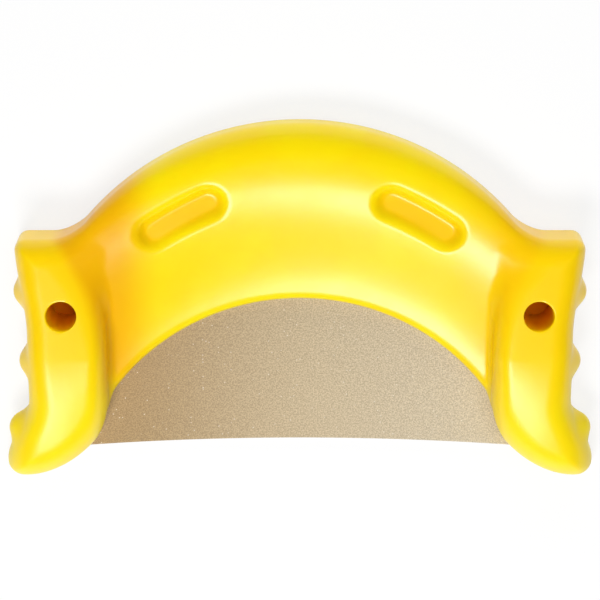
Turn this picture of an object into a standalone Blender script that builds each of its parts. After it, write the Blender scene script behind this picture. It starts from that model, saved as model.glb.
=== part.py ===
"""Moulded arch with two bolt-down ears, seated over a thin gritty sheet.

The arch lies flat on the floor. Its band is a dished wall that rises from the opening to a
crest and rounds over to an upright back. The ears at its two ends are taller blocks with a
bolt bore each, a toe that curls outwards, and lugs along the outer side. The sheet is a
segment of a disc with a bowed front edge, and lies in a rebate under the opening's edge.

Metres. +X is to the right, +Y runs from the toes to the crown, +Z is up from the floor.
The origin is on the floor, in the middle of the whole.
"""

import math

import bmesh
import bpy
import numpy as np

# Plan of the band: three arcs whose centres lie on the middle line.
BAND_DEPTH = 0.0633
OPENING_RADIUS = 0.0810
CROWN_INSIDE = 0.0008
CREST_SETBACK = 0.0126
END_SETBACK = 0.0035
LEAST_SHOULDER = 0.0010

# Cross-section of the band.
LIP_RUN = 0.0042
LIP_HEIGHT = 0.0055
LIP_EDGE = 0.0020
CREST_HEIGHT = 0.0190
BACK_WALL = 0.0085

# Ears, measured on the right one. The left one is its mirror image.
FACE_INSET = 0.0163
EAR_WIDTH = 0.0336
EAR_SETBACK = 0.0392
TOE_AHEAD = 0.0168
EAR_HEIGHT = 0.0240
TOE_DROP = 0.0080
NOSE_HEIGHT = 0.0065
WAIST_SINK = 0.0038
TOE_FLARE = 0.0051
WAIST_RUN = 0.0230
TOE_RUN = 0.0310
DROOP_RUN = 0.0465
TOE_ROUND_RUN = 0.0058
FACE_SETBACK = 0.0160
FACE_NARROWEST = 2.6
FLANK_DROP = 0.0095
NOSE_INSET = 0.0013
NOSE_SQUARENESS = 1.75
EDGE_RADIUS = 0.0060
BACK_EDGE_RADIUS = 0.0080
TOE_EDGE_RADIUS = 0.0095
TIP_FLAT = 0.0003
ROUND_ACROSS_RATIO = 0.45
ROUND_UP_RATIO = 0.80

# Bolt bores, square to the floor.
BORE_RADIUS = 0.00525
BORE_INSET = 0.0163
BORE_SETBACK = 0.0255
BORE_WALL = 0.0020

# Lugs on the outer sides.
LUG_COUNT = 3
LUG_PITCH = 0.0249
FIRST_LUG_SETBACK = 0.0195
LUG_REACH = 0.0034
LUG_HALF_LENGTH = 0.0062
LUG_TOP_DROP = 0.0070
LUG_FOOT = 0.0030

# Blind pockets in the wall, under the crest.
POCKET_SETBACK = 0.0101
POCKET_ANGLE = 20.0
POCKET_HALF_LENGTH = 0.0163
POCKET_HALF_WIDTH = 0.0054
POCKET_DEPTH = 0.0045

# Sheet and the rebate that takes it.
SEAT_WIDTH = 0.0100
SHEET_SETBACK = 0.0094
SHEET_BOW = 0.0036
SHEET_THICKNESS = 0.0016
FIT_GAP = 0.0003

# Fineness of the facets.
BAND_STATIONS = 65
LIP_STEPS = 6
WALL_STEPS = 15
SHOULDER_STEPS = 9
EAR_STATIONS = 34
CORNER_STEPS = 5
FACE_STEPS = 4
FLANK_STEPS = 6
BORE_SIDES = 32
SHEET_SIDES = 72
FRONT_STEPS = 13
POCKET_SIDES = 38
POCKET_RINGS = 4

# How far cutters run past the finished faces, and undersides before they are levelled.
OVERCUT = 0.0050
BAND_SOLE = -OVERCUT / 2
EAR_SOLE = -OVERCUT
DEEPEST_CUT = -2 * OVERCUT

# Places that follow from the sizes. The origin is midway between the crown and the toes' tips.
CROWN_Y = (BAND_DEPTH + OPENING_RADIUS - TOE_AHEAD - TIP_FLAT) / 2
OPENING_Y = CROWN_Y - BAND_DEPTH - OPENING_RADIUS
TOE_Y = OPENING_Y + TOE_AHEAD
EAR_BACK_Y = CROWN_Y - EAR_SETBACK
TOE_WIDEST_Y = TOE_Y + TOE_ROUND_RUN
WAIST_END_Y = TOE_Y + TOE_RUN
WAIST_START_Y = WAIST_END_Y + WAIST_RUN
DROOP_START_Y = TOE_Y + DROOP_RUN
FACE_INNER_X = OPENING_RADIUS - FACE_INSET
BACK_HALF_WIDTH = FACE_INNER_X + EAR_WIDTH
WAIST_HALF_WIDTH = BACK_HALF_WIDTH - WAIST_SINK
TOE_HALF_WIDTH = BACK_HALF_WIDTH + TOE_FLARE
NOSE_X = BACK_HALF_WIDTH - NOSE_INSET
TOE_HEIGHT = EAR_HEIGHT - TOE_DROP
FOOT_HEIGHT = EAR_HEIGHT - FLANK_DROP
BORE_X = BACK_HALF_WIDTH - BORE_INSET
BORE_Y = EAR_BACK_Y - BORE_SETBACK
FIRST_LUG_Y = EAR_BACK_Y - FIRST_LUG_SETBACK
SHEET_FRONT_Y = TOE_Y + SHEET_SETBACK
TRIM_X = BORE_X + BORE_RADIUS / 2
CROWN_RADIUS = BACK_HALF_WIDTH - CROWN_INSIDE
CROWN_CENTRE_Y = CROWN_Y - CROWN_RADIUS


def clear_scene():
    """Removes whatever the file opened with."""
    for old in list(bpy.data.objects):
        bpy.data.objects.remove(old, do_unlink=True)


def side_name(side):
    """The word for a side of the arch in an object's name."""
    return "left" if side < 0 else "right"


def finish_material(name, colour, roughness, metallic=0.0):
    """A plain Principled material in the photographed colour."""
    material = bpy.data.materials.new(name)
    material.use_nodes = True
    shader = material.node_tree.nodes["Principled BSDF"]
    shader.inputs["Base Color"].default_value = (*colour, 1.0)
    shader.inputs["Roughness"].default_value = roughness
    shader.inputs["Metallic"].default_value = metallic
    return material


def new_object(name, points, faces, hidden=False):
    """A mesh object from points and faces, closed and facing out."""
    mesh = bpy.data.meshes.new(name)
    mesh.from_pydata([tuple(map(float, p)) for p in points], [], [tuple(map(int, f)) for f in faces])
    work = bmesh.new()
    work.from_mesh(mesh)
    bmesh.ops.recalc_face_normals(work, faces=work.faces)
    work.to_mesh(mesh)
    work.free()
    thing = bpy.data.objects.new(name, mesh)
    bpy.context.scene.collection.objects.link(thing)
    if hidden:
        thing.hide_render = True
        thing.display_type = "WIRE"
    return thing


def combine(target, tool, operation):
    """Adds an exact Boolean of the tool to the target."""
    step = target.modifiers.new(f"{operation.lower()} {tool.name}", "BOOLEAN")
    step.operation = operation
    step.solver = "EXACT"
    step.object = tool


def tube_faces(rows, columns):
    """Quads of a tube of rows that each close on themselves, with a flat cap at both ends."""
    faces = []
    for row in range(rows - 1):
        for column in range(columns):
            across = (column + 1) % columns
            first, second = row * columns, (row + 1) * columns
            faces.append((first + column, first + across, second + across, second + column))
    faces.append(tuple(range(columns)))
    faces.append(tuple((rows - 1) * columns + column for column in reversed(range(columns))))
    return faces


def ray_to_arc(angle, radius, centre_y):
    """Distance from the opening's centre to an arc, along a ray at this angle from +Y."""
    offset = centre_y - OPENING_Y
    along = offset * np.cos(angle)
    return along + np.sqrt(along**2 + radius**2 - offset**2)


def crest_arc():
    """Radius and centre of the crest's arc, from its setbacks at the middle and at the ears."""
    drop = CROWN_RADIUS - math.sqrt(CROWN_RADIUS**2 - TRIM_X**2) + END_SETBACK - CREST_SETBACK
    radius = (TRIM_X**2 + drop**2) / (2 * drop)
    return radius, CROWN_Y - CREST_SETBACK - radius


def crest_distance(angle):
    """Distance from the opening's centre to the crest, always inside the crown's arc."""
    back = ray_to_arc(angle, CROWN_RADIUS, CROWN_CENTRE_Y)
    return np.minimum(ray_to_arc(angle, *crest_arc()), back - LEAST_SHOULDER)


def smooth(u):
    """Rises from 0 to 1 with level ends."""
    u = np.clip(u, 0.0, 1.0)
    return u * u * (3.0 - 2.0 * u)


def wall_height(run, width):
    """Height of the dished wall at a distance from the opening's edge."""
    return LIP_HEIGHT + (CREST_HEIGHT - LIP_HEIGHT) * smooth((run - LIP_RUN) / (width - LIP_RUN))


def band_section(angle):
    """One closed section of the band: lip, dished wall, crest, shoulder and upright back."""
    crest = crest_distance(angle)
    back = ray_to_arc(angle, CROWN_RADIUS, CROWN_CENTRE_Y)
    width = crest - OPENING_RADIUS
    turn = np.linspace(0.0, math.pi / 2, LIP_STEPS)
    lip = np.column_stack(
        [LIP_RUN * (1 - np.cos(turn)), LIP_EDGE + (LIP_HEIGHT - LIP_EDGE) * np.sin(turn)]
    )
    run = np.linspace(LIP_RUN, width, WALL_STEPS)[1:]
    wall = np.column_stack([run, wall_height(run, width)])
    turn = np.linspace(0.0, math.pi / 2, SHOULDER_STEPS)[1:]
    shoulder = np.column_stack(
        [
            width + (back - crest) * np.sin(turn),
            BACK_WALL + (CREST_HEIGHT - BACK_WALL) * np.cos(turn),
        ]
    )
    foot = [[back - OPENING_RADIUS, BAND_SOLE], [0.0, BAND_SOLE]]
    section = np.vstack([lip, wall, shoulder, foot])
    return OPENING_RADIUS + section[:, 0], section[:, 1]


def make_band():
    """The dished band, swept round the opening and trimmed inside the ears."""
    reach = math.asin((FACE_INNER_X + EDGE_RADIUS) / OPENING_RADIUS)
    rows = []
    for angle in np.linspace(-reach, reach, BAND_STATIONS):
        radius, height = band_section(angle)
        rows.append(
            np.column_stack([radius * np.sin(angle), OPENING_Y + radius * np.cos(angle), height])
        )
    points = np.vstack(rows)
    band = new_object("arch_moulding", points, tube_faces(BAND_STATIONS, len(rows[0])))
    for side in (-1, 1):
        combine(band, make_trim(side), "DIFFERENCE")
    return band


def make_trim(side):
    """A cutter that ends the band inside the ear, in a step that stays clear of the bore."""
    clear = BORE_RADIUS + BORE_WALL
    far_x, far_y = 2 * BACK_HALF_WIDTH, 2 * CROWN_RADIUS
    outline = [
        (BORE_X - clear, -far_y),
        (far_x, -far_y),
        (far_x, far_y),
        (TRIM_X, far_y),
        (TRIM_X, BORE_Y + clear),
        (BORE_X - clear, BORE_Y + clear),
    ]
    points = [
        (side * x, y, height)
        for height in (DEEPEST_CUT, CREST_HEIGHT + OVERCUT)
        for x, y in outline
    ]
    return new_object(f"trim_{side_name(side)}", points, tube_faces(2, len(outline)), hidden=True)


def ear_outer(y):
    """Outer side of the ear in plan: wide at the back, drawn in at the waist, flared at the toe."""
    back = smooth((EAR_BACK_Y - y) / (EAR_BACK_Y - WAIST_START_Y))
    flare = smooth((WAIST_END_Y - y) / (WAIST_END_Y - TOE_WIDEST_Y))
    side = BACK_HALF_WIDTH + (WAIST_HALF_WIDTH - BACK_HALF_WIDTH) * back
    return side + (TOE_HALF_WIDTH - WAIST_HALF_WIDTH) * flare


def toe_rounding(y):
    """How much of the full width is left at the outer corner of the toe, as a quarter ellipse."""
    u = np.clip((TOE_WIDEST_Y - y) / (TOE_WIDEST_Y - TOE_Y), 0.0, 1.0)
    return np.sqrt(1.0 - u * u)


def ear_inner(y):
    """Inner edge of the ear's face in plan: set back at the crown, swept out round the toe."""
    up = np.clip((y - WAIST_END_Y) / (EAR_BACK_Y - WAIST_END_Y), 0.0, 1.0)
    down = np.clip((WAIST_END_Y - y) / (WAIST_END_Y - TOE_Y), 0.0, 1.0)
    sweep = (1.0 - down**NOSE_SQUARENESS) ** (1.0 / NOSE_SQUARENESS)
    return NOSE_X - (NOSE_X - FACE_INNER_X) * sweep + FACE_SETBACK * up**FACE_NARROWEST


def ear_top(y):
    """Height of the ear's face: level, rounded down at the back edge, drooping to the nose."""
    droop = smooth((DROOP_START_Y - y) / (DROOP_START_Y - TOE_WIDEST_Y))
    face = EAR_HEIGHT - (EAR_HEIGHT - TOE_HEIGHT) * droop
    back = np.clip((y - EAR_BACK_Y + BACK_EDGE_RADIUS) / BACK_EDGE_RADIUS, 0.0, 1.0)
    nose_start = TOE_Y + TOE_EDGE_RADIUS
    nose = np.clip((nose_start - y) / TOE_EDGE_RADIUS, 0.0, 1.0)
    rounded = face - BACK_EDGE_RADIUS * (1.0 - np.sqrt(1.0 - back * back))
    return NOSE_HEIGHT + (rounded - NOSE_HEIGHT) * np.sqrt(1.0 - nose * nose)


def ear_section(y):
    """One closed section of the right ear, across X, starting at the inner foot."""
    outer = NOSE_X + (ear_outer(y) - NOSE_X) * toe_rounding(y)
    inner = ear_inner(y)
    top = ear_top(y)
    toe = smooth((DROOP_START_Y - y) / (DROOP_START_Y - TOE_WIDEST_Y))
    radius = EDGE_RADIUS + (TOE_EDGE_RADIUS - EDGE_RADIUS) * toe
    radius = min(radius, ROUND_ACROSS_RATIO * (outer - inner), ROUND_UP_RATIO * top)
    flank_foot = min(FOOT_HEIGHT, top - radius - TIP_FLAT)
    foot_x = min(FACE_INNER_X, inner) if y > WAIST_END_Y else inner
    turn = np.linspace(0.0, math.pi / 2, CORNER_STEPS + 1)
    outer_corner = np.column_stack(
        [outer - radius * (1 - np.cos(turn)), top - radius * (1 - np.sin(turn))]
    )
    across = np.linspace(outer - radius, inner + radius, FACE_STEPS + 1)[1:-1]
    face = np.column_stack([across, np.full(len(across), top)])
    inner_corner = np.column_stack(
        [inner + radius * (1 - np.sin(turn)), top - radius * (1 - np.cos(turn))]
    )
    u = np.linspace(0.0, 1.0, FLANK_STEPS + 1)[1:]
    flank = np.column_stack(
        [inner + (foot_x - inner) * u * u, top - radius + (flank_foot - top + radius) * u]
    )
    base = [[foot_x, EAR_SOLE], [outer, EAR_SOLE]]
    return np.vstack([outer_corner, face, inner_corner, flank, base])


def make_ear(side):
    """One ear, lofted from its back wall to the tip of its toe."""
    tip = TOE_Y + TIP_FLAT
    turn = np.linspace(0.0, math.pi, EAR_STATIONS)
    stations = (EAR_BACK_Y + tip) / 2 + (EAR_BACK_Y - tip) / 2 * np.cos(turn)
    rows = []
    for y in stations:
        section = ear_section(y)
        rows.append(np.column_stack([side * section[:, 0], np.full(len(section), y), section[:, 1]]))
    faces = tube_faces(EAR_STATIONS, len(rows[0]))
    return new_object(f"ear_{side_name(side)}", np.vstack(rows), faces, hidden=True)


def make_lug(side, index):
    """A rounded upright lug, half sunk in the ear's outer side and lower than its face."""
    y = FIRST_LUG_Y - index * LUG_PITCH
    top = ear_top(y) - LUG_TOP_DROP
    work = bmesh.new()
    bmesh.ops.create_uvsphere(work, u_segments=16, v_segments=10, radius=1.0)
    points = [v.co.copy() for v in work.verts]
    faces = [[v.index for v in f.verts] for f in work.faces]
    work.free()
    size = (2 * LUG_REACH, LUG_HALF_LENGTH, (top - LUG_FOOT) / 2)
    centre = (side * (ear_outer(y) - LUG_REACH), y, (top + LUG_FOOT) / 2)
    placed = [[centre[axis] + size[axis] * p[axis] for axis in range(3)] for p in points]
    return new_object(f"lug_{side_name(side)}_{index + 1}", placed, faces, hidden=True)


def make_bore_cutter(side, radius, name):
    """A round cutter through the ear, longer than the ear is tall."""
    turn = np.arange(BORE_SIDES) * 2 * math.pi / BORE_SIDES
    ring = np.column_stack([side * BORE_X + radius * np.cos(turn), BORE_Y + radius * np.sin(turn)])
    rows = [
        np.column_stack([ring, np.full(BORE_SIDES, height)])
        for height in (DEEPEST_CUT, EAR_HEIGHT + OVERCUT)
    ]
    return new_object(name, np.vstack(rows), tube_faces(2, BORE_SIDES), hidden=True)


def make_pocket_cutter(side):
    """A curved slot with round ends whose floor follows the wall at one depth."""
    centre_angle = math.radians(POCKET_ANGLE)
    centre_radius = float(crest_distance(centre_angle)) - POCKET_SETBACK
    straight = POCKET_HALF_LENGTH - POCKET_HALF_WIDTH
    turn = np.arange(POCKET_SIDES) * 2 * math.pi / POCKET_SIDES
    along = straight * np.sign(np.cos(turn)) + POCKET_HALF_WIDTH * np.cos(turn)
    across = POCKET_HALF_WIDTH * np.sin(turn)
    rows = []
    for ring in np.linspace(1.0, 1.0 / POCKET_RINGS, POCKET_RINGS):
        angle = side * centre_angle + ring * along / centre_radius
        radius = centre_radius + ring * across
        width = crest_distance(angle) - OPENING_RADIUS
        floor = wall_height(radius - OPENING_RADIUS, width) - POCKET_DEPTH
        rows.append(
            np.column_stack([radius * np.sin(angle), OPENING_Y + radius * np.cos(angle), floor])
        )
    top = rows[0].copy()
    top[:, 2] = CREST_HEIGHT + OVERCUT
    rows.insert(0, top)
    faces = tube_faces(len(rows), POCKET_SIDES)
    return new_object(f"pocket_{side_name(side)}", np.vstack(rows), faces, hidden=True)


def segment_plate(name, radius, front_y, bottom, top, hidden):
    """A plate shaped as a disc segment round the opening's centre, with its front edge bowed in."""
    reach = math.acos((front_y - OPENING_Y) / radius)
    angle = np.linspace(-reach, reach, SHEET_SIDES)
    arc = np.column_stack([radius * np.sin(angle), OPENING_Y + radius * np.cos(angle)])
    across = np.linspace(1.0, -1.0, FRONT_STEPS + 1)[1:-1]
    front = np.column_stack(
        [across * radius * math.sin(reach), front_y + SHEET_BOW * (1.0 - across**2)]
    )
    ring = np.vstack([arc, front])
    rows = [np.column_stack([ring, np.full(len(ring), height)]) for height in (bottom, top)]
    return new_object(name, np.vstack(rows), tube_faces(2, len(ring)), hidden=hidden)


def make_floor_cutter():
    """A block that cuts the joined band and ears off level with the floor."""
    far_x, far_y = 2 * BACK_HALF_WIDTH, 2 * CROWN_RADIUS
    outline = [(-far_x, -far_y), (far_x, -far_y), (far_x, far_y), (-far_x, far_y)]
    points = [(x, y, height) for height in (DEEPEST_CUT, 0.0) for x, y in outline]
    return new_object("floor", points, tube_faces(2, len(outline)), hidden=True)


def make_moulding():
    """The arch as one moulding: band and bored ears joined and levelled, then its recesses cut."""
    moulding = make_band()
    for side in (-1, 1):
        ear = make_ear(side)
        for index in range(LUG_COUNT):
            combine(ear, make_lug(side, index), "UNION")
        bore = make_bore_cutter(side, BORE_RADIUS, f"bore_{side_name(side)}")
        combine(ear, bore, "DIFFERENCE")
        combine(moulding, ear, "UNION")
    combine(moulding, make_floor_cutter(), "DIFFERENCE")
    seat_radius = OPENING_RADIUS + SEAT_WIDTH + FIT_GAP
    rebate = segment_plate(
        "rebate", seat_radius, SHEET_FRONT_Y - FIT_GAP, -OVERCUT, SHEET_THICKNESS + FIT_GAP, True
    )
    combine(moulding, rebate, "DIFFERENCE")
    for side in (-1, 1):
        combine(moulding, make_pocket_cutter(side), "DIFFERENCE")
    moulding.data.materials.append(finish_material("moulding_yellow", (1.0, 0.66, 0.004), 0.28))
    return moulding


def make_sheet():
    """The gritty sheet, lying on the floor in the moulding's rebate."""
    radius = OPENING_RADIUS + SEAT_WIDTH
    sheet = segment_plate("grit_sheet", radius, SHEET_FRONT_Y, 0.0, SHEET_THICKNESS, False)
    sheet.data.materials.append(finish_material("sheet_tan", (0.56, 0.44, 0.28), 0.85))
    return sheet


def main():
    """Builds both pieces."""
    clear_scene()
    for piece in (make_moulding(), make_sheet()):
        piece.data.shade_smooth()
        piece.data.set_sharp_from_angle(angle=math.radians(35))


main()
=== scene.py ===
"""Looks of a low moulded arch with two bolt-down ears over a thin gritty sheet.

The moulding is one glossy, slightly translucent yellow casting. Its skin is worked out with numpy
as the zero level of a field of distances, so that the dished band, the ears, the lugs and the
pockets run into each other with moulded blends. The sheet is tan, with fine sparkling grit.

Lengths are in millimetres inside the shape classes and in metres on every mesh.
"""

import logging
import math
from dataclasses import dataclass, field
from enum import Enum

import bpy
import numpy as np
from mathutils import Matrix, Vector


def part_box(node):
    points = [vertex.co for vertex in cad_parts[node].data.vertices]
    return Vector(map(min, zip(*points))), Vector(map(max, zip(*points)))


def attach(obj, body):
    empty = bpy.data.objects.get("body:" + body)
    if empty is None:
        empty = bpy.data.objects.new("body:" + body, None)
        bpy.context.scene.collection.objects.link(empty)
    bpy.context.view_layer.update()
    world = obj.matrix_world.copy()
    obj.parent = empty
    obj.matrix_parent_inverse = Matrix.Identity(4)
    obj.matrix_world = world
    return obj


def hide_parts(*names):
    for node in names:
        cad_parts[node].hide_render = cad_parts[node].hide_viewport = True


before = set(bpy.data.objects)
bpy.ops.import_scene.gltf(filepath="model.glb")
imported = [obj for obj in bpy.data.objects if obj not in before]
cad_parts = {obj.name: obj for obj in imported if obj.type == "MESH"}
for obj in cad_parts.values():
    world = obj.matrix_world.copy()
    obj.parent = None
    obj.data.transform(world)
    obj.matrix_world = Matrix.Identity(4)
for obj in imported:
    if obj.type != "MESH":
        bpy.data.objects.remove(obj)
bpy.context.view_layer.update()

MM = 0.001
BODY = "root"
LOG = logging.getLogger("arch")


# ---------------------------------------------------------------- shader tools


class Socket:
    """A node's output, or a plain number, on which Python's operators build Math nodes."""

    def __init__(self, bench: "Bench", value: object) -> None:
        """Keeps the socket together with the bench that its nodes go to."""
        self.bench = bench
        self.value = value

    def _math(self, operation: str, *others: object) -> "Socket":
        """Adds one Math node.

        Args:
            operation: the Math node's operation.
            others: the further values or sockets.

        Returns:
            The node's output.
        """
        values = {index: item for index, item in enumerate((self, *others))}
        return self.bench.node("ShaderNodeMath", {"operation": operation}, values)

    def __add__(self, other: object) -> "Socket":
        """Sum."""
        return self._math("ADD", other)

    def __sub__(self, other: object) -> "Socket":
        """Difference."""
        return self._math("SUBTRACT", other)

    def __rsub__(self, other: object) -> "Socket":
        """Difference with a plain number in front."""
        return Socket(self.bench, other)._math("SUBTRACT", self)

    def __mul__(self, other: object) -> "Socket":
        """Product."""
        return self._math("MULTIPLY", other)

    def __pow__(self, other: object) -> "Socket":
        """Power."""
        return self._math("POWER", other)

    __radd__ = __add__
    __rmul__ = __mul__

    def over(self, least: float) -> "Socket":
        """The value, or the given number where that is larger."""
        return self._math("MAXIMUM", least)

    def size(self) -> "Socket":
        """The value without its sign."""
        return self._math("ABSOLUTE")

    def clamped(self) -> "Socket":
        """The value held between 0 and 1."""
        return self._math("MINIMUM", 1.0).over(0.0)

    def step(self, low: float, high: float) -> "Socket":
        """A smooth rise from 0 at low to 1 at high.

        Args:
            low: where the rise starts.
            high: where it ends.

        Returns:
            The mask.
        """
        values = {"Value": self, "From Min": low, "From Max": high}
        settings = {"interpolation_type": "SMOOTHSTEP", "clamp": True}
        return self.bench.node("ShaderNodeMapRange", settings, values)


class Bench:
    """One material's node tree, with a single method that adds nodes."""

    def __init__(self, name: str) -> None:
        """Starts a material with only its output and its Principled shader."""
        self.material = bpy.data.materials.new(name)
        self.material.use_nodes = True
        self.tree = self.material.node_tree
        self.shader = self.tree.nodes["Principled BSDF"]

    def node(self, kind: str, settings: dict, values: dict, output: object = 0) -> Socket:
        """Adds a node, sets it up and fills or links its sockets.

        Args:
            kind: the node's type.
            settings: attributes, set first.
            values: number, colour or Socket for each input, by name or index.
            output: the output wanted, by name or index.

        Returns:
            The wanted output.
        """
        made = self.tree.nodes.new(kind)
        for key, setting in settings.items():
            setattr(made, key, setting)
        for key, value in values.items():
            self.plug(made.inputs[key], value)
        return Socket(self, made.outputs[output])

    def plug(self, target: bpy.types.NodeSocket, value: object) -> None:
        """Links a Socket to an input, or writes a plain value to it."""
        while isinstance(value, Socket):
            value = value.value
        if isinstance(value, bpy.types.NodeSocket):
            self.tree.links.new(value, target)
        else:
            target.default_value = value

    def set(self, **values: object) -> None:
        """Fills the Principled shader's sockets, named with _ for each space."""
        for key, value in values.items():
            self.plug(self.shader.inputs[key.replace("_", " ")], value)

    def place(self) -> Socket:
        """Object coordinates, which are metres in the frame."""
        return self.node("ShaderNodeTexCoord", {}, {}, "Object")

    def axes(self) -> tuple:
        """The three object coordinates as numbers."""
        split = self.node("ShaderNodeSeparateXYZ", {}, {"Vector": self.place()})
        node = split.value.node
        return tuple(Socket(self, node.outputs[axis]) for axis in "XYZ")

    def noise(self, grain: float, detail: float = 2.0, rough: float = 0.5) -> Socket:
        """Noise whose lumps are about one grain across.

        Args:
            grain: size of a lump in metres.
            detail: octaves.
            rough: how strong the finer octaves are.

        Returns:
            The noise, from 0 to 1.
        """
        values = {"Vector": self.place(), "Scale": 1.0 / grain}
        values.update({"Detail": detail, "Roughness": rough})
        return self.node("ShaderNodeTexNoise", {}, values, "Fac")

    def blend(self, mask: object, low: object, high: object) -> Socket:
        """Mixes two colours by a mask."""
        made = self.node("ShaderNodeMix", {"data_type": "RGBA"}, {}, 2).value.node
        self.plug(made.inputs[0], mask)
        self.plug(made.inputs[6], low)
        self.plug(made.inputs[7], high)
        return Socket(self, made.outputs[2])

    def bump(self, height: Socket, depth: float, under: object = None) -> Socket:
        """Turns a height from 0 to 1 into a normal, for a relief of the given depth in metres."""
        values = {"Height": height, "Distance": depth, "Strength": 1.0}
        if under is not None:
            values["Normal"] = under
        return self.node("ShaderNodeBump", {}, values, "Normal")


def rgb(red: float, green: float, blue: float) -> tuple:
    """A colour with full alpha, from linear values."""
    return (red, green, blue, 1.0)


# ---------------------------------------------------------------- finishes


@dataclass(frozen=True)
class CastYellow:
    """Glossy cast elastomer: saturated yellow, faintly mottled, with painted shade in its recesses
    and creases.
    """

    slot: str = "moulding"
    lit: tuple = rgb(1.0, 0.755, 0.0008)
    deep: tuple = rgb(1.0, 0.715, 0.0006)
    # Painted shade: orange for the valley beside each ear.
    flank_shade: tuple = rgb(0.88, 0.470, 0.0005)
    # Painted shade: the pockets' floors.
    pocket: tuple = rgb(1.0, 0.620, 0.0006)
    # Painted shade: a deeper yellow on the ears' backs.
    ear_back_shade: tuple = rgb(1.0, 0.650, 0.0006)
    # Painted shade: deep orange down the bores' walls.
    amber_shade: tuple = rgb(0.92, 0.440, 0.0008)
    roughness: float = 0.30
    gloss_change: float = 0.08
    toe_dullness: float = 0.08
    coat: float = 0.05
    coat_roughness: float = 0.20
    ior: float = 1.45
    glow: float = 0.35
    glow_depth: float = 0.006
    glow_spread: tuple = (1.0, 0.80, 0.10)
    swirl: float = 0.022
    swirl_fade: tuple = (0.35, 0.65)
    ripple: float = 0.009
    ripple_depth: float = 0.00005
    pore: float = 0.0008
    pore_depth: float = 0.000006
    ear_fade: tuple = (-0.002, 0.008)
    back_fade: tuple = (-0.045, -0.005)
    flank_x: float = 0.0647
    flank_lean: float = 0.016
    flank_from_y: float = -0.0329
    flank_run: float = 0.0573
    flank_power: float = 2.6
    flank_inner_fade: tuple = (-0.017, 0.0)
    flank_outer_fade: tuple = (0.0, 0.006)
    flank_front_fade: tuple = (-0.004, 0.010)
    flank_right_fade: tuple = (-0.030, 0.030)
    flank_right_cut: float = 0.65
    bore_x: float = 0.0820
    bore_y: float = -0.0011
    bore_radius: float = 0.0056
    bore_fade: float = 0.0002
    bore_dark_z: float = 0.0100
    bore_lit_z: float = 0.0225
    pocket_x: float = 0.0410
    pocket_y: float = 0.0321
    pocket_turn: float = 29.0
    pocket_straight: float = 0.0109
    pocket_half_width: float = 0.0048
    pocket_fade: tuple = (-0.0025, 0.0010)

    def build(self) -> bpy.types.Material:
        """Makes the material: cloudy colour, painted shade in the valleys, on the ears' backs, in
        the pockets and down the bores, uneven gloss, slow ripples and fine pores.
        """
        bench = Bench("cast_yellow")
        cloud = bench.noise(self.swirl, detail=3.0).step(*self.swirl_fade)
        colour = bench.blend(cloud, self.lit, self.deep)
        back, toes = self._ear_shade_and_toe_masks(bench)
        # Painted shade on the ears' backs.
        colour = bench.blend(back, colour, self.ear_back_shade)
        # Painted shade in the valley beside each ear.
        colour = bench.blend(self._flank_shade_mask(bench), colour, self.flank_shade)
        # Painted shade on the pockets' floors.
        colour = bench.blend(self._pocket_shade_mask(bench), colour, self.pocket)
        # Painted shade down the bores.
        colour = bench.blend(self._bore(bench), colour, self.amber_shade)
        uneven = bench.noise(self.ripple, detail=3.0, rough=0.6)
        gloss = self.roughness + (uneven - 0.5) * self.gloss_change + toes * self.toe_dullness
        slow = bench.bump(uneven, self.ripple_depth)
        fine = bench.bump(bench.noise(self.pore), self.pore_depth, slow)
        bench.set(Base_Color=colour, Roughness=gloss, Normal=fine)
        bench.set(IOR=self.ior, Coat_Weight=self.coat, Coat_Roughness=self.coat_roughness)
        bench.set(Subsurface_Weight=self.glow, Subsurface_Scale=self.glow_depth)
        bench.set(Subsurface_Radius=self.glow_spread)
        return bench.material

    def _ear_shade_and_toe_masks(self, bench: Bench) -> tuple:
        """Masks of the ears' backs, for their painted shade, and of their toes, which fade into
        each other.
        """
        across, along, _ = bench.axes()
        side = (across.size() - self.flank_x).step(*self.ear_fade)
        back = along.step(*self.back_fade)
        return side * back, side * (1.0 - back)

    def _flank_shade_mask(self, bench: Bench) -> Socket:
        """A mask of painted shade in the valley beside each ear, wider at the crown and fainter on
        the right, where the light falls.
        """
        across, along, _ = bench.axes()
        side = across.size()
        up = ((along - self.flank_from_y) * (1.0 / self.flank_run)).clamped()
        face = self.flank_x + up**self.flank_power * self.flank_lean
        inner = (side - self.flank_x).step(*self.flank_inner_fade)
        outer = (side - face).step(*self.flank_outer_fade)
        front = (along - self.flank_from_y).step(*self.flank_front_fade)
        weight = 1.0 - across.step(*self.flank_right_fade) * self.flank_right_cut
        return inner * (1.0 - outer) * front * weight

    def _pocket_shade_mask(self, bench: Bench) -> Socket:
        """A mask of painted shade on the pockets' floors: inside a stadium turned in plan."""
        across, along, _ = bench.axes()
        turn = math.radians(self.pocket_turn)
        x, y = across.size() - self.pocket_x, along - self.pocket_y
        length = (x * math.cos(turn) - y * math.sin(turn)).size() - self.pocket_straight
        width = x * math.sin(turn) + y * math.cos(turn)
        out = (length.over(0.0) ** 2.0 + width**2.0) ** 0.5
        return 1.0 - (out - self.pocket_half_width).step(*self.pocket_fade)

    def _bore(self, bench: Bench) -> Socket:
        """A mask of painted shade on the bores' walls that deepens with the depth below the face.
        """
        across, along, up = bench.axes()
        out = ((across.size() - self.bore_x) ** 2.0 + (along - self.bore_y) ** 2.0) ** 0.5
        inside = 1.0 - out.step(self.bore_radius - self.bore_fade, self.bore_radius)
        return inside * (1.0 - up.step(self.bore_dark_z, self.bore_lit_z))


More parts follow.
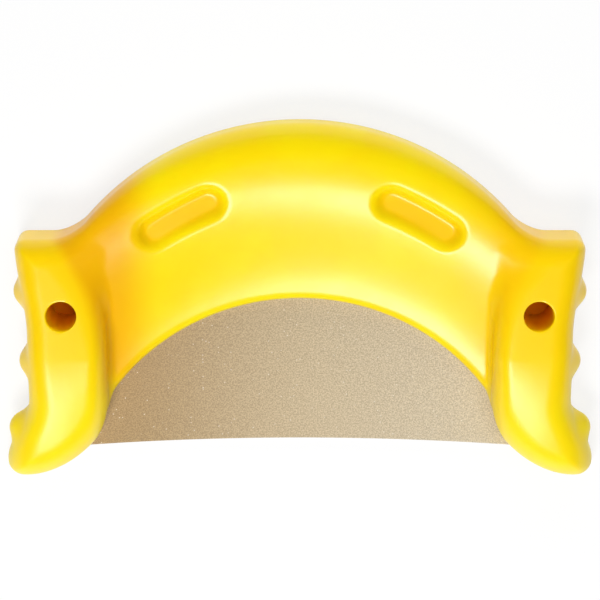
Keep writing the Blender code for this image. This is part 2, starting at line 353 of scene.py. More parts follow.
@dataclass(frozen=True)
class GritTan:
    """Thin sheet faced with fine grit: tan, with bright sparkles, and painted shade that makes it
    browner and darker at the left and paler at the right.
    """

    slot: str = "sheet"
    # Painted shade and light: browner and darker for the left, paler for the right, around the tan.
    shaded_brown: tuple = rgb(0.430, 0.295, 0.145)
    tan: tuple = rgb(0.585, 0.475, 0.310)
    pale: tuple = rgb(0.625, 0.540, 0.395)
    spark: tuple = rgb(0.80, 0.74, 0.62)
    grain_dark: tuple = rgb(0.74, 0.72, 0.70)
    grain_light: tuple = rgb(1.12, 1.12, 1.12)
    brown_fade: tuple = (0.0, 0.6)
    pale_fade: tuple = (0.45, 1.0)
    grain_fade: tuple = (0.38, 0.62)
    fleck_edge: tuple = (0.10, 0.22)
    fleck_pick: tuple = (0.86, 0.90)
    fleck_gloss: float = 0.4
    half_span: float = 0.070
    grain: float = 0.0005
    grain_depth: float = 0.00008
    fleck: float = 0.0011
    roughness: float = 0.72
    ior: float = 1.45

    def build(self) -> bpy.types.Material:
        """Makes the material: painted shade, browner at the left and paler at the right, a sandy
        grain and scattered sparkles.
        """
        bench = Bench("grit_tan")
        across, _, _ = bench.axes()
        # Painted shade: the sheet darkens towards the left and pales towards the right.
        shade_drift = (across * (0.5 / self.half_span) + 0.5).clamped()
        base = bench.blend(shade_drift.step(*self.brown_fade), self.shaded_brown, self.tan)
        base = bench.blend(shade_drift.step(*self.pale_fade), base, self.pale)
        grain = bench.noise(self.grain, detail=4.0, rough=0.7)
        sandy = bench.blend(grain.step(*self.grain_fade), self.grain_dark, self.grain_light)
        made = bench.node("ShaderNodeMix", {"data_type": "RGBA", "blend_type": "MULTIPLY"}, {}, 2)
        mixer = made.value.node
        bench.plug(mixer.inputs[0], 1.0)
        bench.plug(mixer.inputs[6], base)
        bench.plug(mixer.inputs[7], sandy)
        flecks = self._flecks(bench)
        colour = bench.blend(flecks, made, self.spark)
        gloss = self.roughness - flecks * self.fleck_gloss
        bench.set(Base_Color=colour, Roughness=gloss, Normal=bench.bump(grain, self.grain_depth))
        bench.set(IOR=self.ior)
        return bench.material

    def _flecks(self, bench: Bench) -> Socket:
        """A mask of small round flecks, one in a few cells of a random cell pattern."""
        values = {"Vector": bench.place(), "Scale": 1.0 / self.fleck, "Randomness": 1.0}
        near = bench.node("ShaderNodeTexVoronoi", {"feature": "F1"}, values, "Distance")
        cell = bench.node("ShaderNodeTexVoronoi", {"feature": "F1"}, values, "Color")
        pick = bench.node("ShaderNodeSeparateColor", {}, {"Color": cell}, "Red")
        return (1.0 - near.step(*self.fleck_edge)) * pick.step(*self.fleck_pick)


@dataclass(frozen=True)
class StudioFloor:
    """Plain pale floor, near white where it is seen, that keeps a soft shadow.

    Under the ears the floor is painted deep orange as shadow, which is what shows at the bottom of
    their bores.
    """

    colour: tuple = rgb(0.93, 0.93, 0.93)
    # Painted shadow: the floor under the ears.
    amber_shade: tuple = rgb(0.92, 0.330, 0.0010)
    backdrop_share: float = 0.80
    under_from: float = 0.070
    under_to: float = 0.093
    under_depth: float = 0.016
    fade: float = 0.002
    roughness: float = 0.9

    def build(self) -> bpy.types.Material:
        """Makes the floor: a matt surface with a patch of painted shadow under each ear, mostly
        replaced by plain white where it is seen.
        """
        bench = Bench("studio_floor")
        across, along, _ = bench.axes()
        across, along = across.size(), along.size()
        under = across.step(self.under_from, self.under_from + self.fade)
        under = under * (1.0 - across.step(self.under_to - self.fade, self.under_to))
        under = under * (1.0 - along.step(self.under_depth - self.fade, self.under_depth))
        # Painted shadow under the ears, seen at the bottom of the bores.
        ground_with_shadow = bench.blend(under, self.colour, self.amber_shade)
        bench.set(Base_Color=ground_with_shadow, Roughness=self.roughness)
        camera = bench.node("ShaderNodeLightPath", {}, {}, "Is Camera Ray")
        rays = camera.value.node.outputs
        seen = camera + rays["Is Glossy Ray"] + rays["Is Transmission Ray"]
        share = seen.clamped() * (1.0 - under) * self.backdrop_share
        glow = {"Color": rgb(1.0, 1.0, 1.0), "Strength": 1.0}
        white = bench.node("ShaderNodeEmission", {}, glow)
        lit = bench.shader.outputs["BSDF"]
        mixed = bench.node("ShaderNodeMixShader", {}, {0: share, 1: lit, 2: white})
        bench.plug(bench.tree.nodes["Material Output"].inputs["Surface"], mixed)
        return bench.material


# ---------------------------------------------------------------- fields of distances


def smooth(u: np.ndarray) -> np.ndarray:
    """Rises from 0 to 1 with level ends: three u squared less two u cubed."""
    u = np.clip(u, 0.0, 1.0)
    return u * u * (3.0 - 2.0 * u)


def both(a: np.ndarray, b: np.ndarray, radius: object) -> np.ndarray:
    """Where two solids overlap, with their common edge rounded.

    The larger of the two distances, and past -radius in both the length of the two excesses.

    Args:
        a: distance to the first solid, negative inside.
        b: distance to the second solid.
        radius: radius of the rounded edge.

    Returns:
        Distance to what they share.
    """
    u = np.maximum(a + radius, 0.0)
    v = np.maximum(b + radius, 0.0)
    return np.minimum(-radius, np.maximum(a, b)) + np.hypot(u, v)


def either(a: np.ndarray, b: np.ndarray, radius: object) -> np.ndarray:
    """Two solids joined, with a fillet of the given radius in the valley between them."""
    return -both(-a, -b, radius)


@dataclass
class Band:
    """The dished band: three plan arcs and the profile between them."""

    crown_y: float
    crown_radius: float = 97.5
    crest_setback: float = 12.6
    crest_radius: float = 109.5
    depth: float = 63.3
    opening_radius: float = 81.0
    lip_run: float = 2.4
    lip_height: float = 5.5
    lip_round: float = 3.2
    crest_height: float = 19.0
    shoulder_least: float = 5.0
    shoulder_most: float = 11.5
    fullness: float = 0.40
    end_x: float = 84.0
    end_angle: float = 57.0
    widest_angle: float = 1.1

    @property
    def opening_y(self) -> float:
        """Centre of the opening's arc."""
        return self.crown_y - self.depth - self.opening_radius

    def ray(self, angle: np.ndarray, radius: float, arc_y: float) -> np.ndarray:
        """How far from the opening's centre a ray meets an arc: the larger root of its circle.

        Args:
            angle: the ray's angle from +Y.
            radius: the arc's radius.
            arc_y: the arc's centre on the middle line.

        Returns:
            The distance along the ray.
        """
        offset = arc_y - self.opening_y
        along = offset * np.cos(angle)
        return along + np.sqrt(along**2 + radius**2 - offset**2)

    def crest_distance(self, angle: np.ndarray) -> np.ndarray:
        """Distance from the opening's centre to the crest."""
        arc_y = self.crown_y - self.crest_setback - self.crest_radius
        return self.ray(angle, self.crest_radius, arc_y)

    def wall(self, radius: np.ndarray, angle: np.ndarray) -> tuple:
        """Height of the dished wall and its slope along the ray.

        The rise is a smooth step, made fuller by a share of a quarter sine wave.
        """
        width = self.crest_distance(angle) - self.opening_radius - self.lip_run
        u = np.clip((radius - self.opening_radius - self.lip_run) / width, 0.0, 1.0)
        rise = self.crest_height - self.lip_height
        quarter = math.pi / 2.0
        step = smooth(u) + self.fullness * (np.sin(quarter * u) - smooth(u))
        steep = 6.0 * u * (1.0 - u)
        slope = steep + self.fullness * (quarter * np.cos(quarter * u) - steep)
        return self.lip_height + rise * step, rise * slope / width

    def field(self, x: np.ndarray, y: np.ndarray, z: np.ndarray) -> np.ndarray:
        """Distance to the band: under the wall, outside the opening, inside the crown's arc."""
        radius = np.hypot(x, y - self.opening_y)
        angle = np.arctan2(x, y - self.opening_y)
        held = np.clip(angle, -self.widest_angle, self.widest_angle)
        height, slope = self.wall(radius, held)
        top = (z - height) / np.sqrt(1.0 + slope**2)
        crown_y = self.crown_y - self.crown_radius
        crown = np.hypot(x, y - crown_y) - self.crown_radius
        setback = self.ray(held, self.crown_radius, crown_y) - self.crest_distance(held)
        shoulder = np.clip(setback, self.shoulder_least, self.shoulder_most)
        solid = both(top, self.opening_radius - radius, self.lip_round)
        solid = both(solid, crown, shoulder)
        past = (np.abs(angle) - math.radians(self.end_angle)) * radius
        return np.maximum(np.maximum(solid, past), np.abs(x) - self.end_x)


@dataclass
class Ear:
    """One ear on the right; the field takes the absolute value of x, so the left one mirrors it."""

    crown_y: float
    toe_y: float
    height: float
    back_setback: float = 39.2
    toe_height: float = 15.5
    back_width: float = 98.3
    waist_width: float = 94.5
    toe_width: float = 103.2
    waist_run: float = 23.0
    toe_run: float = 31.0
    droop_run: float = 46.5
    toe_round_run: float = 5.8
    inner_x: float = 64.7
    face_setback: float = 16.0
    narrowest: float = 2.6
    foot_height: float = 14.5
    nose_x: float = 97.0
    squareness: float = 1.75
    edge_round: float = 8.0
    back_round: float = 8.6
    toe_round: float = 12.5
    corner_round: float = 4.0
    heel_round: float = 5.6
    ridge_x: float = 89.5
    ridge_span: float = 23.0
    least_crown: float = 1.2
    most_crown: float = 5.6
    droop_power: float = 1.8
    flank_power: float = 0.75
    flank_slope: float = 0.6

    def __post_init__(self) -> None:
        """Sets out the stations along Y, from the crown and from the toe."""
        self.back_y = self.crown_y - self.back_setback
        self.waist_end = self.toe_y + self.toe_run
        self.waist_start = self.waist_end + self.waist_run
        self.toe_widest = self.toe_y + self.toe_round_run
        self.droop_start = self.toe_y + self.droop_run

    def outer(self, y: np.ndarray) -> np.ndarray:
        """Outer side in plan: wide at the back, drawn in at the waist, flared at the toe."""
        back = smooth((self.back_y - y) / (self.back_y - self.waist_start))
        flare = smooth((self.waist_end - y) / (self.waist_end - self.toe_widest))
        side = self.back_width + (self.waist_width - self.back_width) * back
        return side + (self.toe_width - self.waist_width) * flare

    def droop(self, y: np.ndarray) -> np.ndarray:
        """How far along its drop the face is: 0 over the bore, 1 over the toe."""
        run = np.clip((self.droop_start - y) / (self.droop_start - self.toe_y), 0.0, 1.0)
        return run**self.droop_power

    def top(self, y: np.ndarray) -> np.ndarray:
        """Height of the face."""
        return self.height - (self.height - self.toe_height) * self.droop(y)

    def face(self, side: np.ndarray, y: np.ndarray) -> np.ndarray:
        """Height of the crowned face: it falls off its ridge by the square of the distance."""
        off = (side - self.ridge_x) / self.ridge_span
        crown = self.least_crown + (self.most_crown - self.least_crown) * np.sqrt(self.droop(y))
        return self.top(y) - crown * off**2

    def edge(self, y: np.ndarray) -> np.ndarray:
        """Radius of the face's edge: larger at the back and largest round the toe."""
        at_back = smooth((y - self.back_y + 2.0 * self.back_round) / self.back_round)
        edge = self.edge_round + (self.back_round - self.edge_round) * at_back
        return edge + (self.toe_round - self.edge_round) * np.sqrt(self.droop(y))

    def field(self, x: np.ndarray, y: np.ndarray, z: np.ndarray) -> np.ndarray:
        """Distance to the ear: inside its plan outline and under its drooping face.

        The inner outline is a superellipse about the nose. Behind it the inner flank leans
        outwards, by a power of the way up from its foot and one of the way back to the crown.
        """
        side = np.abs(x)
        top = self.top(y)
        spread = self.nose_x - self.inner_x
        length = self.waist_end - self.toe_y
        across = np.maximum(self.nose_x - side, 0.0) / spread
        ahead = np.maximum(self.waist_end - y, 0.0) / length
        norm = (across**self.squareness + ahead**self.squareness) ** (1.0 / self.squareness)
        sweep = (norm - 1.0) * (0.5 * (spread + length))
        up = np.clip((y - self.waist_end) / (self.back_y - self.waist_end), 0.0, 1.0)
        down = np.clip((top - z) / (top - self.foot_height), 0.0, 1.0)
        back = up**self.narrowest
        lean = self.inner_x + self.face_setback * back * (1.0 - down) ** self.flank_power - side
        slope = 1.0 + self.flank_slope * back
        solid = both(side - self.outer(y), sweep, self.heel_round)
        solid = both(solid, y - self.back_y, self.corner_round)
        solid = both(solid, lean / slope, self.edge_round)
        return both(solid, z - self.face(side, y), self.edge(y))


@dataclass
class Lugs:
    """Rounded upright lugs along an ear's outer side, each lower than the face beside it."""

    ear: Ear
    count: int = 3
    pitch: float = 24.9
    first_setback: float = 19.5
    reach: float = 3.4
    half_length: float = 6.2
    top_drop: float = 7.0
    foot: float = 3.0

    def field(self, x: np.ndarray, y: np.ndarray, z: np.ndarray) -> np.ndarray:
        """Distance to the nearest lug, each an ellipsoid half sunk in the side."""
        nearest = np.full(np.shape(x), np.inf)
        for index in range(self.count):
            middle = self.ear.back_y - self.first_setback - index * self.pitch
            top = self.ear.top(np.float64(middle)) - self.top_drop
            centre = self.ear.outer(np.float64(middle)) - self.reach
            scaled = [
                (np.abs(x) - centre) / (2.0 * self.reach),
                (y - middle) / self.half_length,
                (z - (top + self.foot) / 2.0) / ((top - self.foot) / 2.0),
            ]
            size = np.sqrt(sum(part**2 for part in scaled))
            nearest = np.minimum(nearest, (size - 1.0) * self.half_length)
        return nearest


@dataclass
class Pockets:
    """Blind pockets in the wall under the crest, with soft lips and a level floor."""

    band: Band
    setback: float = 10.1
    angle: float = 20.0
    half_length: float = 15.8
    half_width: float = 5.3
    turn: float = 9.0
    depth: float = 3.4
    draft: float = 0.25
    floor_round: float = 2.0
    lip_round: float = 2.8

    def __post_init__(self) -> None:
        """Places the pockets by their setback from the crest."""
        angle = np.float64(math.radians(self.angle))
        self.radius = self.band.crest_distance(angle) - self.setback
        self.floor_z = self.band.wall(self.radius, angle)[0] - self.depth

    def cut(self, solid: np.ndarray, x: np.ndarray, y: np.ndarray, z: np.ndarray) -> np.ndarray:
        """Takes the pockets out of a solid: a stadium in arc length and radius, over a floor."""
        distance = np.hypot(x, y - self.band.opening_y)
        angle = np.abs(np.arctan2(x, y - self.band.opening_y))
        over = z - self.floor_z
        round_by = (angle - math.radians(self.angle)) * self.radius
        out_by = distance - self.radius
        turn = math.radians(self.turn)
        along = np.abs(round_by * math.cos(turn) - out_by * math.sin(turn))
        across = np.abs(round_by * math.sin(turn) + out_by * math.cos(turn))
        straight = self.half_length - self.half_width
        stadium = np.hypot(np.maximum(along - straight, 0.0), across) - self.half_width
        pocket = both(stadium - self.draft * (over - self.depth), -over, self.floor_round)
        return both(solid, -pocket, self.lip_round)


@dataclass
class Seat:
    """The rebate under the opening's edge that takes the sheet."""

    centre_y: float
    radius: float
    front_y: float
    half_span: float
    height: float
    bow: float = 3.6
    edge_round: float = 0.3

    def cut(self, solid: np.ndarray, x: np.ndarray, y: np.ndarray, z: np.ndarray) -> np.ndarray:
        """Takes the rebate out of a solid: a low disc cut off by the bowed front."""
        disc = np.hypot(x, y - self.centre_y) - self.radius
        front = self.front_y + self.bow * (1.0 - (x / self.half_span) ** 2)
        plate = np.maximum(np.maximum(disc, front - y), z - self.height)
        return both(solid, -plate, self.edge_round)


# ---------------------------------------------------------------- meshes


def mesh_object(name: str, points: np.ndarray, faces: np.ndarray) -> bpy.types.Object:
    """A smooth-shaded object from arrays of points in metres and faces of equal size.

    Args:
        name: the object's name.
        points: one row of x, y, z for each vertex.
        faces: one row of vertex numbers for each face.

    Returns:
        The linked object, at the origin.
    """
    mesh = bpy.data.meshes.new(name)
    count, corners = faces.shape
    mesh.vertices.add(len(points))
    mesh.vertices.foreach_set("co", points.astype(np.float32).ravel())
    mesh.loops.add(count * corners)
    mesh.loops.foreach_set("vertex_index", faces.astype(np.int32).ravel())
    mesh.polygons.add(count)
    mesh.polygons.foreach_set("loop_start", np.arange(0, count * corners, corners, dtype=np.int32))
    mesh.polygons.foreach_set("loop_total", np.full(count, corners, dtype=np.int32))
    mesh.update(calc_edges=True)
    mesh.validate()
    mesh.shade_smooth()
    thing = bpy.data.objects.new(name, mesh)
    bpy.context.scene.collection.objects.link(thing)
    return thing


class Skin:
    """Turns a field of distances into a closed mesh of quads, all with whole arrays."""

    STEP = 0.02
    LEAST_SLOPE = 0.05
    LONGEST_MOVE = 0.4

    def __init__(self, field_of: object, low: tuple, high: tuple, cell: float) -> None:
        """Keeps the field and the box of grid points it is sampled on."""
        self.field_of = field_of
        self.cell = cell
        self.axes = [
            low[axis] + cell * np.arange(int(math.ceil((high[axis] - low[axis]) / cell)) + 1)
            for axis in range(3)
        ]

    def sample(self) -> np.ndarray:
        """The field on every grid point, one slab of z at a time."""
        x, y = np.meshgrid(self.axes[0], self.axes[1], indexing="ij")
        slabs = [self.field_of(x, y, np.full(x.shape, height)) for height in self.axes[2]]
        return np.stack(slabs, axis=2)

    def corners(self, values: np.ndarray) -> tuple:
        """One vertex in each cell that the surface crosses, at the mean of its edge crossings.

        Args:
            values: the field on the grid.

        Returns:
            The vertices and, for each cell, its vertex number or -1.
        """
        shape = tuple(size - 1 for size in values.shape)
        total = np.zeros((*shape, 3))
        crossings = np.zeros(shape)
        for axis in range(3):
            others = [other for other in range(3) if other != axis]
            start = np.take(values, np.arange(shape[axis]), axis=axis)
            end = np.take(values, np.arange(1, shape[axis] + 1), axis=axis)
            crossed = (start < 0) != (end < 0)
            step = np.where(crossed, start / np.where(crossed, start - end, 1.0), 0.0)
            for first in (0, 1):
                for second in (0, 1):
                    part = [slice(None)] * 3
                    part[others[0]] = slice(first, first + shape[others[0]])
                    part[others[1]] = slice(second, second + shape[others[1]])
                    here = crossed[tuple(part)]
                    crossings += here
                    total[..., axis] += here * step[tuple(part)]
                    total[..., others[0]] += here * first
                    total[..., others[1]] += here * second
        cells = crossings > 0
        number = np.full(shape, -1, dtype=np.int64)
        number[cells] = np.arange(int(cells.sum()))
        origin = np.array([axis[0] for axis in self.axes])
        place = np.argwhere(cells) + total[cells] / crossings[cells][:, None]
        return origin + place * self.cell, number

    @staticmethod
    def quads(values: np.ndarray, number: np.ndarray) -> np.ndarray:
        """One quad round each grid edge that the surface crosses, facing out of the solid."""
        made = []
        for axis in range(3):
            first, second = [other for other in range(3) if other != axis]
            start = np.take(values, np.arange(values.shape[axis] - 1), axis=axis)
            end = np.take(values, np.arange(1, values.shape[axis]), axis=axis)
            crossed = np.argwhere((start < 0) != (end < 0))
            inside = start[tuple(crossed.T)] < 0
            ring = []
            for back_first, back_second in ((1, 1), (0, 1), (0, 0), (1, 0)):
                cell = crossed.copy()
                cell[:, first] -= back_first
                cell[:, second] -= back_second
                ring.append(number[tuple(cell.T)])
            ring = np.stack(ring, axis=1)
            turned = inside if axis != 1 else ~inside
            made.append(np.where(turned[:, None], ring, ring[:, ::-1]))
        return np.vstack(made)

    def settle(self, points: np.ndarray, rounds: int = 4) -> np.ndarray:
        """Moves points onto the surface: each goes down its gradient by its distance over it."""
        step = self.STEP
        for _ in range(rounds):
            x, y, z = points.T
            here = self.field_of(x, y, z)
            slope = np.stack(
                [
                    self.field_of(x + step, y, z) - self.field_of(x - step, y, z),
                    self.field_of(x, y + step, z) - self.field_of(x, y - step, z),
                    self.field_of(x, y, z + step) - self.field_of(x, y, z - step),
                ],
                axis=1,
            ) / (2.0 * step)
            size = np.maximum((slope**2).sum(axis=1), self.LEAST_SLOPE)
            move = -(here / size)[:, None] * slope
            length = np.linalg.norm(move, axis=1, keepdims=True)
            longest = self.LONGEST_MOVE * self.cell
            points = points + move * np.minimum(1.0, longest / np.maximum(length, 1e-9))
        return points

    def build(self, name: str) -> bpy.types.Object:
        """Samples the field, makes the mesh and settles it on the surface."""
        values = self.sample()
        points, number = self.corners(values)
        faces = self.quads(values, number)
        return mesh_object(name, self.settle(points) * MM, faces)


def turned(name: str, profile: np.ndarray, centre: tuple, sides: int) -> bpy.types.Object:
    """A closed turned solid: each profile row (radius, z) is carried round an upright axis.

    Args:
        name: the object's name.
        profile: rows of radius and height in millimetres, from the bottom up.
        centre: x and y of the axis in millimetres.
        sides: points in each ring.

    Returns:
        The object, capped at both ends.
    """
    turn = np.arange(sides) * 2.0 * math.pi / sides
    ring = np.stack([np.cos(turn), np.sin(turn)], axis=1)
    flat = profile[:, :1, None] * ring[None] + np.array(centre)
    rise = np.broadcast_to(profile[:, 1:, None], (len(profile), sides, 1))
    points = np.concatenate([flat, rise], axis=2).reshape(-1, 3)
    mesh = bpy.data.meshes.new(name)
    row = np.arange(len(profile) - 1)[:, None] * sides
    column = np.arange(sides)[None]
    after = (column + 1) % sides
    ends = [row + column, row + after, row + sides + after, row + sides + column]
    quads = np.stack(ends, axis=2)
    faces = [list(map(int, quad)) for quad in quads.reshape(-1, 4)]
    faces.append(list(range(sides))[::-1])
    faces.append(list(range((len(profile) - 1) * sides, len(profile) * sides)))
    mesh.from_pydata((points * MM).tolist(), [], faces)
    mesh.update()
    thing = bpy.data.objects.new(name, mesh)
    bpy.context.scene.collection.objects.link(thing)
    return thing


# ---------------------------------------------------------------- the two pieces


@dataclass
class ArchMoulding:
    """The whole moulding: band, ears, lugs, pockets, seat and bores."""

    low: Vector
    high: Vector
    sheet_low: Vector
    sheet_high: Vector
    finish: CastYellow = field(default_factory=CastYellow)
    cell: float = 0.8
    margin: float = 2.4
    valley_round: float = 3.0
    corner_fill: float = 6.0
    corner_y: float = 12.0
    corner_run: float = 10.0
    lug_fillet: float = 2.6
    foot_round: float = 1.4
    seat_width: float = 10.0
    fit_gap: float = 0.3
    bore_radius: float = 5.25
    bore_x: float = 82.0
    bore_setback: float = 25.5
    bore_mouth: float = 0.6
    bore_sides: int = 96
    mouth_steps: int = 5
    overcut: float = 2.0
    sharp_angle: float = 50.0

    def __post_init__(self) -> None:
        """Sets out the parts of the field from the CAD box."""
        crown_y = self.high.y / MM
        self.band = Band(crown_y)
        self.ear = Ear(crown_y, self.low.y / MM, self.high.z / MM)
        self.lugs = Lugs(self.ear)
        self.pockets = Pockets(self.band)
        self.seat = Seat(
            centre_y=self.band.opening_y,
            radius=self.band.opening_radius + self.seat_width + self.fit_gap,
            front_y=self.sheet_low.y / MM - self.fit_gap,
            half_span=self.sheet_high.x / MM,
            height=self.sheet_high.z / MM + self.fit_gap,
        )

    def field(self, x: np.ndarray, y: np.ndarray, z: np.ndarray) -> np.ndarray:
        """Distance to the moulding before its bores: joined forms less pockets and rebate."""
        at_back = smooth((y - self.corner_y) / self.corner_run)
        valley = self.valley_round + (self.corner_fill - self.valley_round) * at_back
        solid = either(self.band.field(x, y, z), self.ear.field(x, y, z), valley)
        solid = self.pockets.cut(solid, x, y, z)
        solid = either(solid, self.lugs.field(x, y, z), self.lug_fillet)
        solid = both(solid, -z, self.foot_round)
        return self.seat.cut(solid, x, y, z)

    def build(self) -> bpy.types.Object:
        """Makes the skin and cuts the bores through it."""
        low = [value / MM - self.margin for value in self.low]
        high = [value / MM + self.margin for value in self.high]
        half = max(-low[0], high[0])
        cells = math.ceil(half / self.cell)
        low[0] = -(cells + 0.5) * self.cell
        high[0] = -low[0]
        skin = Skin(self.field, tuple(low), tuple(high), self.cell)
        moulding = skin.build("cast_arch")
        for side in (-1, 1):
            self._bore(moulding, side)
        moulding.data.set_sharp_from_angle(angle=math.radians(self.sharp_angle))
        moulding.data.materials.clear()
        moulding.data.materials.append(self.finish.build())
        return moulding

    def _bore(self, moulding: bpy.types.Object, side: int) -> None:
        """Cuts one bore: a straight wall whose mouth opens by a quarter round at the face."""
        top = self.high.z / MM
        turn = np.linspace(0.0, math.pi / 2, self.mouth_steps)
        opens = self.bore_radius + self.bore_mouth * (1.0 - np.cos(turn))
        rises = top - self.bore_mouth * (1.0 - np.sin(turn))
        start = [[self.bore_radius, -self.overcut]]
        end = [[opens[-1], top + self.overcut]]
        profile = np.vstack([start, np.column_stack([opens, rises]), end])
        bore_y = self.ear.back_y - self.bore_setback
        cutter = turned("bore_cutter", profile, (side * self.bore_x, bore_y), self.bore_sides)
        step = moulding.modifiers.new("bore", "BOOLEAN")
        step.operation = "DIFFERENCE"
        step.solver = "MANIFOLD"
        step.object = cutter
        apply_modifiers(moulding)
        bpy.data.objects.remove(cutter, do_unlink=True)


@dataclass
class GritSheet:
    """The thin sheet: a disc segment with eased edges and a face that is never quite flat."""

    low: Vector
    high: Vector
    opening_y: float
    bow: float
    finish: GritTan = field(default_factory=GritTan)
    edge: float = 0.25
    edge_steps: int = 4
    rings: int = 40
    spokes: int = 160
    arc_share: float = 0.55
    swell: float = 0.06
    swell_runs: tuple = (13.0, 9.0, 31.0)
    swell_start: float = 0.7
    sharp_angle: float = 60.0

    def build(self) -> bpy.types.Object:
        """Carries an edge profile round the outline and closes top and bottom to a spine."""
        radius = math.hypot(self.high.x / MM, self.low.y / MM - self.opening_y)
        front = self.low.y / MM
        top = self.high.z / MM
        reach = math.acos((front - self.opening_y) / radius)
        outline = self._outline(radius, reach, front)
        middle = np.array([0.0, 0.5 * (front + self.high.y / MM)])
        turn = np.linspace(0.0, math.pi / 2, self.edge_steps)
        early = self.edge * (1.0 - np.cos(turn))
        late = self.edge * (1.0 - np.sin(turn))
        inset = np.concatenate([late, early])
        height = np.concatenate([early, top - late])
        span = np.linalg.norm(outline - middle, axis=1, keepdims=True)
        rows = []
        for drawn_in, level in zip(inset, height):
            ring = middle + (outline - middle) * (1.0 - drawn_in / span)
            rows.append(np.column_stack([ring, np.full(len(ring), level)]))
        shrink = np.linspace(1.0, 0.0, self.rings)[1:-1]
        inner = [middle + (rows[-1][:, :2] - middle) * part for part in shrink]
        bottom = [middle + (rows[0][:, :2] - middle) * part for part in shrink[::-1]]
        rows = (
            [np.column_stack([ring, np.zeros(len(ring))]) for ring in bottom]
            + rows
            + [np.column_stack([ring, top - self._waves(ring)]) for ring in inner]
        )
        return self._close(np.stack(rows), middle, top)

    def _outline(self, radius: float, reach: float, front: float) -> np.ndarray:
        """The arc and the front edge, as one closed ring of evenly spaced points."""
        share = int(self.spokes * self.arc_share)
        angle = np.linspace(reach, -reach, share)
        arc = np.column_stack([radius * np.sin(angle), self.opening_y + radius * np.cos(angle)])
        across = np.linspace(-1.0, 1.0, self.spokes - share + 2)[1:-1]
        bowed = front + self.bow * (1.0 - across**2)
        edge = np.column_stack([radius * math.sin(reach) * across, bowed])
        return np.vstack([arc, edge])

    def _waves(self, ring: np.ndarray) -> np.ndarray:
        """How far the face lies under its top: slow crossed waves."""
        x, y = ring.T
        first, second, third = self.swell_runs
        waves = np.sin(x / first + self.swell_start) + np.sin(y / second + x / third)
        return self.swell * (0.5 + 0.25 * waves)

    def _close(self, rows: np.ndarray, middle: np.ndarray, top: float) -> bpy.types.Object:
        """Joins the rings into one closed mesh with a fan at the middle of both faces."""
        count, sides, _ = rows.shape
        points = rows.reshape(-1, 3)
        poles = np.array([[*middle, 0.0], [*middle, top - self.swell * 0.5]])
        row = np.arange(count - 1)[:, None] * sides
        column = np.arange(sides)[None]
        after = (column + 1) % sides
        corners = [row + column, row + sides + column, row + sides + after, row + after]
        quads = np.stack(corners, axis=2).reshape(-1, 4)
        tris = np.vstack([quads[:, [0, 1, 2]], quads[:, [0, 2, 3]]])
        last = (count - 1) * sides
        spin = np.arange(sides)
        under = np.column_stack([np.full(sides, len(points)), spin, (spin + 1) % sides])
        over = [np.full(sides, len(points) + 1), last + (spin + 1) % sides, last + spin]
        faces = np.vstack([tris, under, np.column_stack(over)])
        sheet = mesh_object("gritty_sheet", np.vstack([points, poles]) * MM, faces)
        outward(sheet)
        sheet.data.set_sharp_from_angle(angle=math.radians(self.sharp_angle))
        sheet.data.materials.append(self.finish.build())
        return sheet


def outward(thing: bpy.types.Object) -> None:
    """Turns a closed mesh's faces to point out, by the sign of its volume."""
    mesh = thing.data
    mesh.calc_loop_triangles()
    corners = np.empty(len(mesh.loop_triangles) * 3, dtype=np.int32)
    mesh.loop_triangles.foreach_get("vertices", corners)
    points = np.empty(len(mesh.vertices) * 3, dtype=np.float32)
    mesh.vertices.foreach_get("co", points)
    solid = points.reshape(-1, 3)[corners.reshape(-1, 3)].astype(np.float64)
    if np.linalg.det(solid).sum() < 0:
        mesh.flip_normals()


def apply_modifiers(thing: bpy.types.Object) -> None:
    """Puts the evaluated mesh in place of the object's own and drops its modifiers."""
    graph = bpy.context.evaluated_depsgraph_get()
    graph.update()
    mesh = bpy.data.meshes.new_from_object(thing.evaluated_get(graph))
    thing.modifiers.clear()
    thing.data = mesh


# ---------------------------------------------------------------- studio


class Lamp(Enum):
    """The studio's soft lamps: place, size in metres, power in watts and whether they glint."""

    KEY = ((-0.24, -0.62, 0.90), (0.58, 0.30), 10.5, True)
    TOP = ((0.32, 0.05, 1.10), (0.8, 0.8), 4.6, False)
    BACK = ((0.0, 1.25, 0.30), (1.8, 0.4), 10.0, False)


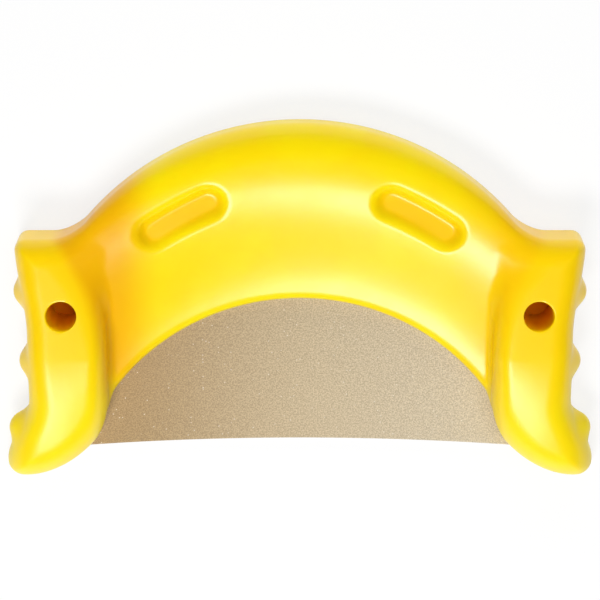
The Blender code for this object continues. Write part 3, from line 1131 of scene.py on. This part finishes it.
@dataclass
class Studio:
    """Floor, lamps, world and camera at the photograph's viewing angle."""

    target: Vector = Vector((0.0, 0.0052, 0.025))
    tilt: float = 14.0
    distance: float = 1.0
    focal_pixels: float = 2925.0
    picture_pixels: float = 600.0
    sensor: float = 36.0
    floor_half: float = 3.0
    floor_drop: float = 0.0002
    world_level: float = 0.06

    def build(self) -> None:
        """Sets up the whole studio."""
        self._floor()
        self._world()
        for lamp in Lamp:
            self._lamp(lamp)
        self._camera()
        bpy.context.scene.view_settings.view_transform = "Standard"

    def _floor(self) -> None:
        """A plain square floor just under the part."""
        half = self.floor_half
        corners = [[-half, -half], [half, -half], [half, half], [-half, half]]
        points = np.column_stack([corners, np.full(len(corners), -self.floor_drop)])
        floor = mesh_object("studio_floor", points, np.array([[0, 1, 2, 3]]))
        floor.data.materials.append(StudioFloor().build())

    def _world(self) -> None:
        """A faint even surround. The floor fills the background."""
        world = bpy.data.worlds.new("studio")
        world.use_nodes = True
        bpy.context.scene.world = world
        surround = world.node_tree.nodes["Background"]
        surround.inputs["Color"].default_value = rgb(1.0, 1.0, 1.0)
        surround.inputs["Strength"].default_value = self.world_level

    def _lamp(self, lamp: Lamp) -> None:
        """One rectangular lamp aimed at the part."""
        place, size, power, glints = lamp.value
        light = bpy.data.lights.new(lamp.name.lower(), "AREA")
        light.shape = "RECTANGLE"
        light.size, light.size_y = size
        light.energy = power
        thing = bpy.data.objects.new(lamp.name.lower(), light)
        thing.location = place
        aim = self.target - Vector(place)
        thing.rotation_euler = aim.to_track_quat("-Z", "Y").to_euler()
        thing.visible_glossy = glints
        bpy.context.scene.collection.objects.link(thing)

    def _camera(self) -> None:
        """The camera, over the crown and looking down at the photograph's tilt."""
        data = bpy.data.cameras.new("camera")
        data.sensor_width = self.sensor
        data.lens = self.sensor * self.focal_pixels / self.picture_pixels
        camera = bpy.data.objects.new("camera", data)
        tilt = math.radians(self.tilt)
        back = Vector((0.0, math.sin(tilt), math.cos(tilt)))
        camera.location = self.target + self.distance * back
        camera.rotation_euler = (-tilt, 0.0, 0.0)
        bpy.context.scene.collection.objects.link(camera)
        bpy.context.scene.camera = camera


def dress(piece: bpy.types.Object, node: str) -> None:
    """Lets a finished piece stand for its CAD node and logs it.

    Args:
        piece: the finished piece.
        node: the CAD node it replaces.
    """
    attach(piece, BODY)
    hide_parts(node)
    LOG.info("%s: %d faces, for %s", piece.name, len(piece.data.polygons), node)


def main() -> None:
    """Builds both pieces and the studio."""
    logging.basicConfig(level=logging.INFO, format="%(name)s %(message)s")
    low, high = (Vector(corner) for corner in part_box("arch_moulding"))
    sheet_low, sheet_high = (Vector(corner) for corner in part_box("grit_sheet"))
    arch = ArchMoulding(low, high, sheet_low, sheet_high)
    dress(arch.build(), "arch_moulding")
    sheet = GritSheet(sheet_low, sheet_high, arch.band.opening_y, arch.seat.bow)
    dress(sheet.build(), "grit_sheet")
    Studio().build()


if __name__ == "__main__":
    main()
